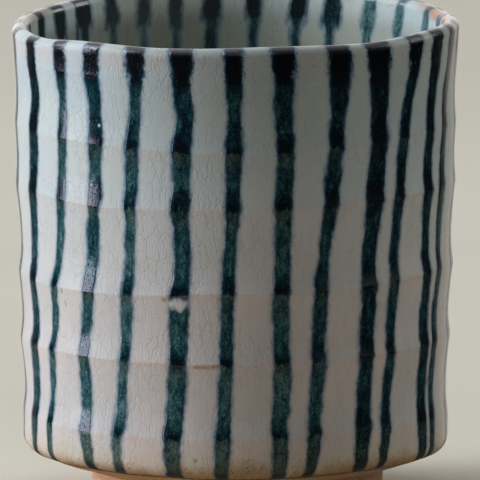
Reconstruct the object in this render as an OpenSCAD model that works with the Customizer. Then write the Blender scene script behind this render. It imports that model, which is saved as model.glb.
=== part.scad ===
// Wheel-thrown tea cup with brushed upright stripes.
// Millimetres, +Z up, the foot stands on Z = 0, the front faces -Y.

/* [Size] */
// Diameter over the lip
rim_d = 80; // [72:1:90]
// Height from the table to the top of the lip
cup_h = 88.5; // [80:0.5:100]
// How much narrower the lowest throwing ridge is than the lip, on the diameter
taper = 4; // [2:0.5:8]

/* [Wall] */
// Wall with its glaze, at the lowest throwing ridge
wall_t = 4; // [3.4:0.1:5]
// Lip, across its rounded top
lip_t = 3.1; // [2.4:0.1:3.6]
// Floor with its glaze, inside the foot ring
floor_t = 5.5; // [4.5:0.1:7]
// Radius of the curve between the inside wall and the floor
inner_corner = 10; // [6:0.5:14]
// Radius of the outside shoulder above the underside
shoulder = 4; // [3:0.5:5]

/* [Throwing ridges] */
// Depth of the deepest hollow between two outside ridges
ridge_depth = 0.65; // [0.1:0.05:0.9]
// Height of the soft waves on the inside wall
inner_wave = 0.15; // [0:0.05:0.3]

/* [Foot] */
// Diameter over the foot ring where it meets the underside
foot_d = 52; // [44:1:56]
// Width of the foot ring
foot_w = 5; // [3.5:0.5:7]
// Depth of the hollow under the floor, inside the foot ring
foot_hollow = 4.5; // [3:0.1:5]
// Depth of the seat that the foot ring sits in
seat = 0.8; // [0.4:0.1:1.2]
// Slope of the bare underside, in degrees
underside = 28; // [20:1:32]

/* [Glaze] */
// Thickness of the glaze coat
glaze_t = 0.45; // [0.3:0.05:0.6]
// How far the glaze runs round under the shoulder
glaze_under = 1.8; // [0.6:0.1:3]

/* [Stripes] */
// Thickness of a brushed stripe
stripe_t = 0.12; // [0.08:0.02:0.2]
// Width of the stripes, as a share of the drawn width
stripe_scale = 1; // [0.7:0.05:1.3]
// How far the inside stripes run down from the lip
inner_run = 34; // [20:1:50]

/* [View] */
// Which node to show

/* [Hidden] */
$fn = 96;

clay_col   = [0.56, 0.41, 0.29];
foot_col   = [0.82, 0.58, 0.47];
glaze_col  = [0.80, 0.79, 0.76];
inner_col  = [0.76, 0.76, 0.74];
stripe_col = [0.07, 0.11, 0.14];

function mix(a, b, t) = a + (b - a) * t;

rim_r = rim_d / 2;
lip_r = lip_t / 2;
lip_c = [rim_r - lip_r, cup_h - lip_r];   // centre of the rounded lip
kz = cup_h / 88.5;

// outside throwing ridges, from the shoulder up: height, and share of the taper
ridge_z = [for (z = [17.5, 31, 43.5, 58.5, 69.5, 81.5]) z * kz];
ridge_k = [1, 0.75, 0.55, 0.35, 0.3, 0.2];
// the hollow above each ridge: height of its deepest point, and share of the depth
valley_z = [for (z = [22.5, 35.5, 48.5, 63, 74.5]) z * kz];
valley_k = [0.8, 0.85, 1, 0.45, 0.45];
ridge_r = [for (k = ridge_k) rim_r - taper / 2 * k];

// shoulder and underside
sh_z = ridge_z[0] - 3.3;
sh_c = [ridge_r[0] - shoulder, sh_z];
un_a = 90 - underside;
sh_end = [sh_c[0] + shoulder * cos(un_a), sh_c[1] - shoulder * sin(un_a)];
un_dir = [-cos(underside), -sin(underside)];
un_nrm = [sin(underside), -cos(underside)];

// A point on the underside line, s along it and d inside the glazed face
function under(s, d) = [sh_end[0] + un_dir[0] * s - un_nrm[0] * d,
                        sh_end[1] + un_dir[1] * s - un_nrm[1] * d];

// Outside wall from the lowest ridge to the lip, d inside the glazed face
function wall_pt(i, j) =
    let (z = j < 3 ? mix(ridge_z[i], valley_z[i], j / 3) : mix(valley_z[i], ridge_z[i + 1], (j - 3) / 3),
         t = j < 3 ? 1 - j / 3 : (j - 3) / 3,
         base = mix(ridge_r[i], ridge_r[i + 1], (z - ridge_z[i]) / (ridge_z[i + 1] - ridge_z[i])))
    [base - ridge_depth * valley_k[i] * (1 - t * t), z];
wall_list = [for (i = [0:4]) for (j = [0:5]) wall_pt(i, j)];
top_list = [for (j = [0:2]) [mix(ridge_r[5], rim_r, pow(j / 3, 1.6)), mix(ridge_z[5], lip_c[1], j / 3)]];
function outer_path(d, a_low, a_top) = concat(
    [for (k = [0:4]) let (a = -mix(a_low, 0, k / 4)) sh_c + (shoulder - d) * [cos(a), sin(a)]],
    [for (p = concat(wall_list, top_list)) [p[0] - d, p[1]]],
    [for (k = [0:5]) let (a = a_top * k / 5) lip_c + (lip_r - d) * [cos(a), sin(a)]]);

// Inside wall from the floor up, d inside the glazed face
base_z = foot_hollow;
floor_z = base_z + floor_t;
in_low = ridge_r[0] - wall_t;
in_top = rim_r - lip_t;
in_c = [in_low - inner_corner, floor_z + inner_corner];
function in_r(z) = let (t = (z - in_c[1]) / (lip_c[1] - in_c[1]))
    mix(in_low, in_top, t) - inner_wave * sin(180 * t) * (1 - cos(360 * 6 * t));
function in_pts(k0) = [for (k = [k0:27]) let (z = mix(in_c[1], lip_c[1], k / 28)) [in_r(z), z]];
function inner_corner_path(d) = [for (k = [0:8]) let (a = -90 + 90 * k / 8) in_c + (inner_corner + d) * [cos(a), sin(a)]];
function inner_wall_path(d, k0) = [for (p = in_pts(k0)) [p[0] + d, p[1]]];
function inner_lip_path(d, a_top) = [for (k = [0:5]) let (a = mix(180, a_top, k / 5)) lip_c + (lip_r - d) * [cos(a), sin(a)]];
function inner_path(d, a_top) = concat([[0, floor_z - d]], inner_corner_path(d), inner_wall_path(d, 1), inner_lip_path(d, a_top));
function rev(l) = [for (i = [len(l) - 1:-1:0]) l[i]];
function tail(l) = [for (i = [1:len(l) - 1]) l[i]];

// foot ring, in a seat turned in the underside
foot_r = foot_d / 2;
foot_in = foot_r - foot_w;
s_foot = (sh_end[0] - un_nrm[0] * glaze_t - foot_r) / cos(underside);
foot_top = under(s_foot, glaze_t)[1];
seat_z = foot_top + seat;

module clay_body() color(clay_col) rotate_extrude() polygon(concat(
    [[0, base_z], [foot_in, base_z], [foot_in, seat_z], [foot_r, seat_z], [foot_r, foot_top]],
    [under(glaze_under, glaze_t)],
    outer_path(glaze_t, un_a, 90),
    tail(rev(inner_path(glaze_t, 90)))));

module foot_ring() color(foot_col) rotate_extrude() polygon([
    [foot_in + 1, 0], [foot_r - 1, 0], [foot_r - 0.5, 0.5], [foot_r, foot_top], [foot_r, seat_z],
    [foot_in, seat_z], [foot_in, base_z], [foot_in + 0.4, 0.6]]);

module outer_glaze() color(glaze_col) rotate_extrude() polygon(concat(
    [under(glaze_under, glaze_t), under(glaze_under, 0.1), under(glaze_under - 0.3, 0)],
    outer_path(0, un_a, 90),
    rev(outer_path(glaze_t, un_a, 90))));

module inner_glaze() color(inner_col) rotate_extrude() polygon(concat(
    inner_path(0, 90), rev(inner_path(glaze_t, 90))));

// Outside stripes, read round from the front: angle, head width, body width, lean down the wall
stripe_rows = [
    [-176, 4.0, 2.8, -1.0], [-162, 3.4, 2.2, 1.0], [-149, 4.4, 3.0, -0.6], [-135, 4.0, 2.4, 0.8],
    [-122, 3.6, 3.2, -1.2], [-109, 4.2, 2.6, 0.6], [-96, 3.4, 3.0, -0.8], [-84, 3.8, 2.6, 0.6],
    [-69, 4.0, 3.2, -3.0], [-56, 2.8, 2.0, -5.0], [-42, 3.2, 2.8, -4.0], [-30, 3.6, 2.2, -5.0],
    [-15.5, 4.2, 3.4, -2.6], [-2, 3.6, 2.6, -2.2], [12, 4.6, 3.2, -0.6], [24.5, 4.8, 2.6, -4.2],
    [38.5, 6.0, 3.4, -3.0], [47.5, 4.2, 2.4, -5.6], [61.5, 4.6, 3.4, -2.4], [69.5, 3.4, 2.8, -4.0],
    [83, 3.8, 3.0, -0.6], [96, 4.2, 2.8, 0.8], [109, 3.4, 3.2, -1.0], [122, 4.4, 2.4, 0.6],
    [136, 3.6, 3.0, -0.8], [149, 4.0, 2.6, 1.0], [163, 4.2, 3.0, -0.6]];
st_lo = sh_end[1] - 1;
st_hi = cup_h + 1;

// Flat outline of an outside stripe: a wide brushed head, a wavering body, a narrow foot
function out_half(i, t) =
    let (r = stripe_rows[i], w = mix(r[2], r[1], pow(max(0, (t - 0.72) / 0.28), 1.5)))
    stripe_scale / 2 * w * (t < 0.08 ? mix(0.45, 1, t / 0.08) : 1) * (1 + 0.07 * sin(760 * t + 77 * i));
function out_mid(i, t) = stripe_rows[i][3] * (0.5 - t) * 0.5 + 0.22 * sin(540 * t + 131 * i);
module stripe_outline(i) polygon(concat(
    [for (k = [0:9]) let (t = k / 9) [out_mid(i, t) + out_half(i, t), mix(st_lo, st_hi, t)]],
    [for (k = [9:-1:0]) let (t = k / 9) [out_mid(i, t) - out_half(i, t), mix(st_lo, st_hi, t)]]));

module outer_stripes() color(stripe_col)
    for (i = [0:len(stripe_rows) - 1]) rotate([0, 0, stripe_rows[i][0] - 90])
        intersection() {
            rotate([0, 0, -8]) rotate_extrude(angle = 16) polygon(concat(
                outer_path(-stripe_t, un_a, 60), rev(outer_path(0, un_a, 60))));
            rotate([90, 0, 90]) linear_extrude(rim_r + 5) stripe_outline(i);
        }

// Inside stripes: the same brush turned over the lip, angle, head width, tail width, length share
inner_rows = [
    [-174, 6.0, 2.6, 0.90], [-161, 4.6, 2.0, 0.80], [-148, 5.4, 2.6, 1.00], [-134, 4.6, 2.4, 0.85],
    [-121, 5.0, 2.8, 0.95], [-108, 4.4, 2.0, 0.80], [-95, 4.8, 2.6, 0.90], [-81, 5.0, 2.2, 1.00],
    [-67, 4.6, 2.4, 0.85], [-54, 4.4, 2.6, 0.95], [-41, 5.0, 2.0, 0.80], [-28, 4.8, 2.6, 0.90],
    [-14, 5.2, 2.4, 1.00], [0, 4.6, 2.2, 0.85], [13, 5.0, 2.6, 0.95], [26, 5.4, 2.0, 0.80],
    [39, 4.6, 2.4, 0.90], [52, 4.8, 2.6, 1.00], [65, 4.4, 2.2, 0.85], [78, 5.2, 2.6, 0.95],
    [92, 4.6, 2.4, 0.80], [106, 5.0, 2.0, 0.90], [119, 4.8, 2.6, 1.00], [132, 6.2, 2.4, 0.85],
    [145, 5.0, 2.6, 0.95], [158, 5.4, 2.4, 0.80], [172, 5.2, 2.8, 0.90]];
st_k0 = max(1, floor(28 * (lip_c[1] - inner_run - in_c[1]) / (lip_c[1] - in_c[1])));
module inner_outline(i) {
    r = inner_rows[i];
    w0 = r[1] / 2 * stripe_scale;
    w1 = r[2] / 2 * stripe_scale;
    top = cup_h + 1;
    run = inner_run * r[3];
    polygon([[-w0, top], [-w0, top - 5], [-w0 * 0.85, top - 8], [-w1, top - 10], [-w1 * 0.9, top - run * 0.7],
        [-w1 * 0.3, top - run], [w1 * 0.5, top - run + 1], [w1, top - run * 0.8], [w1 * 1.1, top - 14],
        [w0 * 0.9, top - 9], [w0, top - 6], [w0, top]]);
}

module inner_stripes() color(stripe_col)
    for (i = [0:len(inner_rows) - 1]) rotate([0, 0, inner_rows[i][0] - 90])
        intersection() {
            rotate([0, 0, -8]) rotate_extrude(angle = 16) polygon(concat(
                inner_wall_path(-stripe_t, st_k0), inner_lip_path(-stripe_t, 120),
                rev(concat(inner_wall_path(0, st_k0), inner_lip_path(0, 120)))));
            rotate([90, 0, 90]) linear_extrude(rim_r + 5) inner_outline(i);
        }

clay_body();
foot_ring();
outer_glaze();
inner_glaze();
outer_stripes();
inner_stripes();
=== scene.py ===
import math

import bpy
import numpy as np
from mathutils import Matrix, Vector


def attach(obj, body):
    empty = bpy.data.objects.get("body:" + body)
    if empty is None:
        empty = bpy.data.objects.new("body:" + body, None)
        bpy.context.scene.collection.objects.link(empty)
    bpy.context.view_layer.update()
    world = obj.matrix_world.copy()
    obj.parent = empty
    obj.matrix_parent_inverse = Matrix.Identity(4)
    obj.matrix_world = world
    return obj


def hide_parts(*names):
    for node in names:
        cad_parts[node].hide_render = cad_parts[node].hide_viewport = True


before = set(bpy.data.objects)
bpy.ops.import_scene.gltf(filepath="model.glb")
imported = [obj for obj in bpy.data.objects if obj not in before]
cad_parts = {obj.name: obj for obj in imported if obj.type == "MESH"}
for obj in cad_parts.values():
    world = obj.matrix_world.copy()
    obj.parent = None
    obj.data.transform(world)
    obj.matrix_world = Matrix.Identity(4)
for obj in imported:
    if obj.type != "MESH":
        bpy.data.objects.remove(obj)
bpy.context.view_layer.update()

# All shapes are worked out in millimetres round the cup's axis and scaled at the end.
# theta is the angle from the front (-Y), positive towards +X, so the photo's left is negative.
MM = 0.001
TAU = 2 * math.pi
N = 640
th = np.arange(N) * TAU / N - math.pi
deg = np.degrees(th)


# ---------------------------------------------------------------- curves round the cup

def soften(v, width):
    """Rounds a periodic curve with a bell of that many degrees."""
    k = np.fft.rfftfreq(N, 1 / N)
    return np.fft.irfft(np.fft.rfft(v) * np.exp(-0.5 * (k * math.radians(width)) ** 2), N)


def around(points, width=6.0):
    """A periodic curve through (degrees, value) points."""
    p = sorted(points)
    a = [x for x, _ in p]
    v = [y for _, y in p]
    return soften(np.interp(deg, [a[-1] - 360] + a + [a[0] + 360], [v[-1]] + v + [v[0]]), width)


def wobble(seed, amp, k0=2, k1=9, fall=1.0):
    rng = np.random.default_rng(seed)
    out = np.zeros(N)
    for k in range(k0, k1 + 1):
        out += rng.normal() * np.cos(k * th + rng.uniform(0, TAU)) / k ** fall
    return amp * out / np.std(out)


def smooth(x, a, b):
    t = np.clip((x - a) / (b - a), 0, 1)
    return t * t * (3 - 2 * t)


def line_noise(seed, z, step, amp):
    """Smooth noise along a height z, one value about every step millimetres."""
    rng = np.random.default_rng(seed)
    knots = rng.normal(size=80)
    t = z / step + 5
    i = np.clip(np.floor(t).astype(int), 0, 77)
    f = t - i
    f = f * f * (3 - 2 * f)
    return amp * (knots[i] * (1 - f) + knots[i + 1] * f)


def field(seed, angle, z, count, k_max, z_len, amp):
    """A smooth random relief over the wall, periodic round the cup."""
    rng = np.random.default_rng(seed)
    out = np.zeros(np.broadcast(angle, z).shape)
    total = 0.0
    for _ in range(count):
        k = int(rng.integers(1, k_max + 1))
        q = rng.normal() * TAU / z_len
        a = rng.uniform(0.4, 1.0)
        out += a * np.cos(k * angle + q * z + rng.uniform(0, TAU))
        total += a * a / 2
    return amp * out / math.sqrt(total)


# ---------------------------------------------------------------- the thrown shape

# heights of the six throwing ridges, from the shoulder up; they tilt and wander
ridge_z = [
    around([(-180, 17.7), (-130, 18.0), (-90, 18.4), (-60, 17.6), (-30, 17.5), (0, 17.7), (20, 18.0), (45, 18.2), (65, 18.0), (90, 16.8), (135, 17.3)]),
    around([(-180, 31.0), (-130, 30.7), (-90, 30.5), (-60, 31.2), (-30, 31.1), (0, 31.2), (40, 31.5), (65, 31.9), (90, 30.9), (135, 30.8)]),
    around([(-180, 43.4), (-130, 43.0), (-90, 42.8), (-55, 42.7), (-30, 42.9), (-8, 44.0), (20, 43.8), (45, 44.3), (65, 44.9), (90, 43.6), (135, 43.3)]),
    around([(-180, 58.6), (-130, 58.3), (-90, 58.2), (-60, 59.0), (-40, 58.1), (-25, 58.7), (10, 58.8), (38, 59.2), (60, 59.6), (90, 58.9), (135, 58.4)]),
    around([(-180, 69.5), (-130, 69.7), (-90, 69.7), (-60, 69.8), (-30, 69.4), (-5, 68.8), (12, 68.8), (27, 69.6), (60, 70.2), (90, 69.5), (135, 69.3)]),
    around([(-180, 81.5), (-130, 81.2), (-90, 80.4), (-52, 81.7), (-14, 82.0), (0, 81.3), (27, 81.5), (55, 81.8), (90, 80.8), (135, 81.1)]),
]
ridge_r = [r + wobble(20 + i, 0.05) for i, r in enumerate([37.96, 38.46, 38.86, 39.26, 39.38, 39.58])]
valley_share = [0.37 + wobble(30, 0.02), 0.36 + wobble(31, 0.02), 0.33 + wobble(32, 0.02), 0.41 + wobble(33, 0.02), 0.42 + wobble(34, 0.02)]
valley_depth = [d * (1 + wobble(40 + i, 0.08)) for i, d in enumerate([0.52, 0.55, 0.65, 0.30, 0.32])]

ridge_mid = [float(np.median(r)) for r in ridge_z]
ridge_r[0] = ridge_r[0] + around([(-120, 0), (60, 0.0), (80, 0.10), (100, 0.12), (120, 0.07)])

lip_z = np.minimum(88.46, around([
    (-180, 88.4), (-150, 88.0), (-121, 87.19), (-111, 86.99), (-85, 86.65), (-66, 86.5), (-60, 86.5), (-55, 86.85),
    (-46, 87.35), (-36, 87.4), (-22, 87.2), (-10, 87.35), (0, 87.6), (8, 87.75), (20, 87.7), (32, 87.45), (38, 87.38),
    (46, 87.6), (55, 87.8), (66, 87.9), (76, 87.9), (90, 87.7), (103, 87.37), (113, 87.67), (140, 88.3), (160, 88.5)], 4.0))
lip_r = 39.93 + wobble(50, 0.04)
lip_tube = 1.55 + wobble(51, 0.07, 2, 14)
lip_cz = lip_z - lip_tube
lip_cr = lip_r - lip_tube

SHOULDER = 2.6 + around([(-120, 0.3), (-90, 0.6), (-60, 0.0), (60, 0.1), (90, 0.9), (120, 0.4)])
UNDER = math.radians(21)
UN_A = 69.0
sh_r = ridge_r[0] - SHOULDER
sh_z = around([(-180, 12.9), (-120, 13.3), (-90, 13.25), (-75, 12.95), (-60, 13.1), (-30, 12.95), (0, 12.75), (20, 12.95), (40, 13.2), (60, 13.15), (75, 13.05), (90, 13.15), (120, 13.25)]) + wobble(61, 0.05, 5, 18, 0.5)
GLAZE = 0.45
glaze_under = np.maximum(0.14, 0.32 + wobble(60, 0.08, 3, 18, 0.5) + around([(-100, 0.15), (-75, 0.05), (-40, 0.0), (70, 0.05), (120, 0.2), (180, 0)]))


def relief(angle, z):
    """Small unevenness of a hand-thrown, dipped wall."""
    return (field(71, angle, z, 26, 5, 40.0, 0.035) + field(72, angle, z, 40, 22, 9.0, 0.012))


def outside(d, thin=False):
    """Rows of the outside from the underside up to the top of the lip, d inside the glazed face.
    Each row is (r, z, part); thin takes fewer rows, for a face that nothing shows."""
    rows = []

    def add(r, z, part):
        rows.append([r * np.ones(N), z * np.ones(N), part])

    end_r = sh_r + SHOULDER * math.cos(math.radians(UN_A))
    end_z = sh_z - SHOULDER * math.sin(math.radians(UN_A))

    def under(s, dd):
        return (end_r - math.cos(UNDER) * s - math.sin(UNDER) * dd, end_z - math.sin(UNDER) * s + math.cos(UNDER) * dd)

    steps = [1.0, 0.5, 0.0] if thin else [0.45, 0.2, 0.0]
    if d == 0:
        # the rounded edge of the coat
        for s, dd in ((1.0, 0.40), (0.97, 0.24), (0.88, 0.12), (0.70, 0.05)):
            r, z = under(glaze_under * s, dd)
            add(r, z, 0)
    for s in steps[:-1]:
        r, z = under(glaze_under * s, d)
        add(r, z, 0)
    n = 5 if thin else 11
    for k in range(n + 1):
        a = -math.radians(UN_A) * (1 - k / n)
        add(sh_r + (SHOULDER - d) * math.cos(a), sh_z + (SHOULDER - d) * math.sin(a), 1)
    # bare wall between shoulder and lowest ridge
    for t in ([0.5] if thin else [0.3, 0.6, 0.85]):
        add(ridge_r[0] - d, sh_z + (ridge_z[0] - sh_z) * t, 1)
    eps = 0.07
    for i in range(5):
        z0, z1, r0, r1 = ridge_z[i], ridge_z[i + 1], ridge_r[i], ridge_r[i + 1]
        zv = z0 + (z1 - z0) * valley_share[i]
        m = 4 if thin else 16
        ts = [k / m for k in range(m + 1)]
        ts = [t for t in ts if 0 < t < 1]
        if thin:
            zs = [z0] + [z0 + (z1 - z0) * t for t in ts]
        else:
            zs = [z0 - eps, z0 + eps, z0 + 0.28] + [z0 + (z1 - z0) * t for t in ts] + [z1 - 0.28]
        for z in zs:
            t = np.where(z < zv, (zv - z) / (zv - z0), (z - zv) / (z1 - zv))
            t = np.clip(t, 0, 1)
            base = r0 + (r1 - r0) * np.clip((z - z0) / (z1 - z0), 0, 1)
            r = base - valley_depth[i] * (1 - t * t)
            add(r - d, z, 2)
    z0 = ridge_z[5]
    r0 = ridge_r[5]
    ts = [0.0, 0.5] if thin else [-1, 0, 0.06, 0.16, 0.28, 0.4, 0.52, 0.64, 0.76, 0.88]
    for t in ts:
        if t == -1:
            add(r0 - d, z0 - eps, 2)
            continue
        z = z0 + (lip_cz - z0) * t + (eps if t == 0 else 0)
        add(r0 + (lip_r - r0) * t ** 1.5 - d, z, 3)
    n = 4 if thin else 12
    for k in range(n + 1):
        a = math.radians(90) * k / n
        add(lip_cr + (lip_tube - d) * math.cos(a), lip_cz + (lip_tube - d) * math.sin(a), 4)
    return rows


IN_LOW = 34.0
FLOOR = 10.0
CORNER = 10.0


def in_radius(z):
    t = np.clip((z - (FLOOR + CORNER)) / (lip_cz - (FLOOR + CORNER)), 0, 1)
    low = IN_LOW * np.ones(N)
    top = lip_cr - lip_tube
    soft = 0.13 * np.sin(math.pi * t) * (1 - np.cos(TAU * 6 * t + 0.6 * np.sin(th + 0.8)))
    return low + (top - low) * t - soft


def inside(d, thin=False):
    """Rows of the inside from the top of the lip down to the middle of the floor, d inside the glazed face."""
    rows = []

    def add(r, z, part):
        rows.append([r * np.ones(N), z * np.ones(N), part])

    n = 4 if thin else 12
    for k in range(n + 1):
        if k == 0 and d == 0:
            continue
        a = math.radians(90 + 90 * k / n)
        add(lip_cr + (lip_tube - d) * math.cos(a), lip_cz + (lip_tube - d) * math.sin(a), 5)
    z_low = FLOOR + CORNER
    m = 12 if thin else 60
    for k in range(1, m + 1):
        t = (k / m) ** (1.0 if thin else 1.08)
        z = lip_cz + (z_low - lip_cz) * t
        add(in_radius(z) + d, z, 6)
    n = 5 if thin else 12
    for k in range(1, n + 1):
        a = -math.radians(90) * k / n
        add(IN_LOW - CORNER + (CORNER + d) * math.cos(a), z_low + (CORNER + d) * math.sin(a), 7)
    for r in ([16.0, 8.0, 2.0] if thin else [22.5, 20.5, 18.5, 16.5, 14.5, 12.5, 10.5, 8.5, 6.5, 4.8, 3.2, 1.8, 0.7]):
        # a low throwing spiral in the floor
        lift = 0.0 if thin else 0.10 * np.cos(TAU * r / 4.2 - th) * min(1.0, r / 6)
        add(r, FLOOR - d + lift * (1 if d == 0 else 0), 7)
    return rows


# ---------------------------------------------------------------- brushed stripes

OUT_Z = [88, 81.5, 76, 69.5, 58.5, 50, 43.5, 31, 17.5, 9]
# each outside stripe: its angle at those heights, its width in mm, and how dark the pigment lies, 0 to 1
OUT = [
    ([-82, -82, -82.5, -83, -82.5, -83, -83.5, -84, -84.5, -85], [3.6, 3.4, 3.0, 2.8, 3.2, 2.6, 2.8, 3.0, 2.8, 2.2], 0.6),
    ([-66, -66, -65, -66, -67, -68, -68.5, -68.5, -70.5, -70.5], [4.2, 4.0, 3.4, 3.8, 3.5, 2.9, 3.2, 3.5, 3.4, 1.8], 0.62),
    ([-51.5, -51.5, -51, -51.5, -52, -54, -55.5, -58, -60.5, -59.8], [3.2, 2.9, 2.2, 2.4, 2.4, 2.0, 2.3, 1.9, 1.8, 2.1], 0.30),
    ([-39.5, -40, -39, -39, -40, -41, -42.5, -44.5, -44.5, -42.2], [3.8, 3.5, 3.2, 3.1, 2.8, 3.0, 2.7, 2.6, 2.7, 2.3], 0.42),
    ([-26.5, -26.5, -27, -27.5, -28.5, -29, -29.5, -31, -33.5, -33.3], [4.0, 2.9, 2.3, 2.7, 2.4, 2.1, 2.4, 2.1, 2.2, 2.2], 0.25),
    ([-14, -14, -13, -14, -14.5, -14, -15, -15.5, -17.3, -16.6], [4.5, 3.8, 3.2, 3.4, 3.4, 3.0, 3.5, 3.4, 3.4, 3.2], 0.52),
    ([-1, -0.5, -0.5, -0.5, -1, -1.5, -2, -2.5, -3.5, -4], [3.7, 3.1, 2.6, 2.9, 2.6, 2.3, 2.4, 2.4, 2.8, 2.8], 0.50),
    ([12, 12.5, 12.5, 13, 12.5, 12.5, 12, 12.5, 12, 11.5], [5.0, 3.9, 3.4, 3.4, 3.3, 3.0, 3.0, 3.1, 2.9, 2.8], 0.45),
    ([27, 27.5, 27.5, 27, 25.5, 24, 23, 22.5, 21.8, 19.7], [5.0, 4.4, 3.2, 3.0, 3.0, 2.2, 2.7, 2.6, 2.5, 2.1], 0.66),
    ([39, 40, 40.5, 40.5, 39, 38, 37.5, 37.5, 36.5, 35.7], [6.0, 5.0, 4.0, 4.2, 3.9, 3.3, 3.6, 3.2, 3.3, 2.9], 0.90),
    ([54, 53, 51, 49.5, 48, 47, 46.5, 45.5, 44.5, 43], [4.4, 3.4, 2.9, 2.7, 2.7, 2.2, 2.5, 2.1, 2.4, 2.0], 0.74),
    ([65, 64, 62.5, 61.5, 61, 61.5, 61.5, 61, 60.5, 61.5], [4.8, 4.3, 3.5, 3.0, 3.4, 2.8, 3.1, 3.3, 3.5, 3.1], 0.86),
    ([75, 74.5, 72, 71, 69.5, 69.5, 69, 67.5, 66.5, 66.8], [3.6, 3.3, 3.0, 2.5, 3.0, 2.6, 2.7, 2.6, 2.5, 2.4], 0.60),
    ([85, 84.5, 84, 84, 83.5, 83, 83, 82.5, 82, 81], [3.8, 3.4, 3.0, 2.8, 2.6, 2.8, 3.0, 2.6, 2.8, 2.2], 0.70),
]
_rng = np.random.default_rng(7)
for _a in (97.5, 110.5, 123, 136, 149, 162, 175, 188, 201, 214, 228, 241, 254, 266.5):
    _lean = _rng.uniform(-3, 3)
    _w = _rng.uniform(2.4, 3.6)
    OUT.append((
        [_a + _rng.uniform(-0.7, 0.7) + _lean * t for t in np.linspace(0.5, -0.5, 10)],
        [_w * k * _rng.uniform(0.93, 1.07) for k in (1.35, 1.15, 1.0, 1.0, 1.0, 0.92, 0.97, 0.95, 0.95, 0.8)],
        _rng.uniform(0.3, 0.8)))

# each inside stripe: its angle at the lip and lower down, head width, tail width, height of the head's lower edge,
# the height where the tail ends, how dark, and the drips of the head towards smaller and greater angles in mm
INN = [
    (-94, -94, 3.4, 1.9, 82.4, 56, 0.6, 0.8, 0.4), (-109.5, -109, 3.3, 1.7, 82.6, 52, 0.7, 1.2, 0.5), (-120.5, -121, 3.6, 1.9, 82.2, 57, 0.8, 1.6, 0.4),
    (-131.5, -132.5, 4.7, 2.2, 82.8, 50, 0.9, 0.5, 2.4), (-142.5, -143, 2.9, 1.2, 82.9, 55, 0.7, 0.3, 1.2), (-153, -153, 2.9, 1.15, 82.6, 58, 0.8, 0.9, 1.2),
    (-162.5, -162.5, 2.7, 1.4, 81.6, 51, 0.8, 0.5, 0.6), (-173.5, -173, 3.4, 2.2, 82.9, 55, 0.85, 0.4, 1.0),
    (175, 175, 2.9, 1.7, 83.0, 53, 0.7, 0.4, 0.5), (161, 163, 3.7, 1.9, 82.8, 57, 0.75, 1.0, 0.7), (151.5, 152.5, 3.7, 1.8, 82.2, 52, 0.75, 0.6, 0.5),
    (138.5, 140, 2.9, 1.6, 82.4, 55, 0.35, 0.5, 0.4), (126, 128, 2.5, 1.3, 82.5, 58, 0.25, 0.3, 0.4), (112, 114, 2.2, 1.3, 82.6, 53, 0.25, 0.4, 0.4),
    (101, 102, 3.2, 1.9, 82.4, 55, 0.6, 0.6, 0.8),
    (90, 90, 3.6, 2.0, 82.3, 57, 0.7, 0.5, 1.0), (77, 78, 3.3, 1.8, 82.8, 52, 0.7, 1.1, 0.4), (64, 64, 3.9, 2.1, 82.2, 55, 0.8, 0.6, 0.9),
    (51, 50, 3.4, 1.9, 82.5, 58, 0.6, 0.5, 1.3), (38, 38.5, 4.0, 2.2, 82.6, 53, 0.8, 0.8, 0.5), (25, 24, 3.3, 1.8, 82.3, 56, 0.7, 0.5, 0.8),
    (12, 12.5, 3.7, 2.0, 82.8, 51, 0.8, 1.2, 0.6), (-2, -1, 3.4, 1.9, 82.4, 55, 0.7, 0.5, 0.9), (-15, -15.5, 3.8, 2.1, 82.7, 57, 0.8, 0.9, 0.5),
    (-28, -27, 3.4, 1.8, 82.3, 53, 0.7, 0.6, 1.1), (-41, -41.5, 3.9, 2.0, 82.6, 56, 0.8, 0.5, 0.7), (-54, -53.5, 3.5, 2.0, 82.4, 52, 0.7, 1.0, 0.5),
    (-67, -67.5, 3.7, 2.1, 82.8, 58, 0.8, 0.6, 0.8), (-80.5, -81, 3.3, 1.8, 82.5, 54, 0.6, 0.5, 1.0)]


def out_stripe(k, z):
    """Centre angle in radians, and the half widths in mm on both sides, of outside stripe k at heights z."""
    ang, wid, _ = OUT[k]
    zs = OUT_Z[::-1]
    c = np.radians(np.interp(z, zs, ang[::-1]))
    w = np.interp(z, zs[:-1], wid[1:][::-1])
    c = c + (line_noise(300 + k, z, 7.0, 0.07) + line_noise(340 + k, z, 2.6, 0.035)) / 39
    rng = np.random.default_rng(400 + k)
    head = max(0.0, wid[0] - wid[1]) / 2
    # the pigment lies a little wider where it pools over a ridge
    pool = sum(0.13 * np.exp(-((z - ridge_mid[i] - 0.9) / 1.3) ** 2) for i in range(5))
    half = []
    for side in (0, 1):
        low = 82.6 + rng.uniform(-0.8, 1.2)
        grow = head * rng.uniform(0.6, 1.4) * smooth(z, low, low + 1.6 + rng.uniform(0, 0.8))
        half.append(w / 2 + pool + grow + line_noise(500 + 100 * side + k, z, 2.1, 0.06))
    return c, half[0], half[1]


def in_stripe(k, z):
    a0, a1, head, tail, low, end, _, drip_a, drip_b = INN[k]
    rng = np.random.default_rng(700 + k)
    c = np.radians(np.interp(z, [60, 80, 88], [a1, a1, a0])) + line_noise(740 + k, z, 6.0, 0.08) / 36
    thin = smooth(z, end - 1.0, end + 14.0)
    base = tail / 2 * (0.35 + 0.65 * thin)
    cut = np.where(z < end, (end - z) * 0.8, 0)
    half = []
    for side in (0, 1):
        shift = rng.uniform(-0.4, 0.4)
        grow = (head - tail) / 2 * smooth(z, low + shift - 0.9, low + shift + 0.6)
        # the head closes in again a little towards the lip
        grow = grow - 0.25 * smooth(z, 85.2, 87.5)
        half.append(base + grow + line_noise(800 + 40 * side + k, z, 2.4, 0.06) - cut)
    return c, half[0], half[1]


def wrap(a):
    return (a + math.pi) % TAU - math.pi


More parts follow.
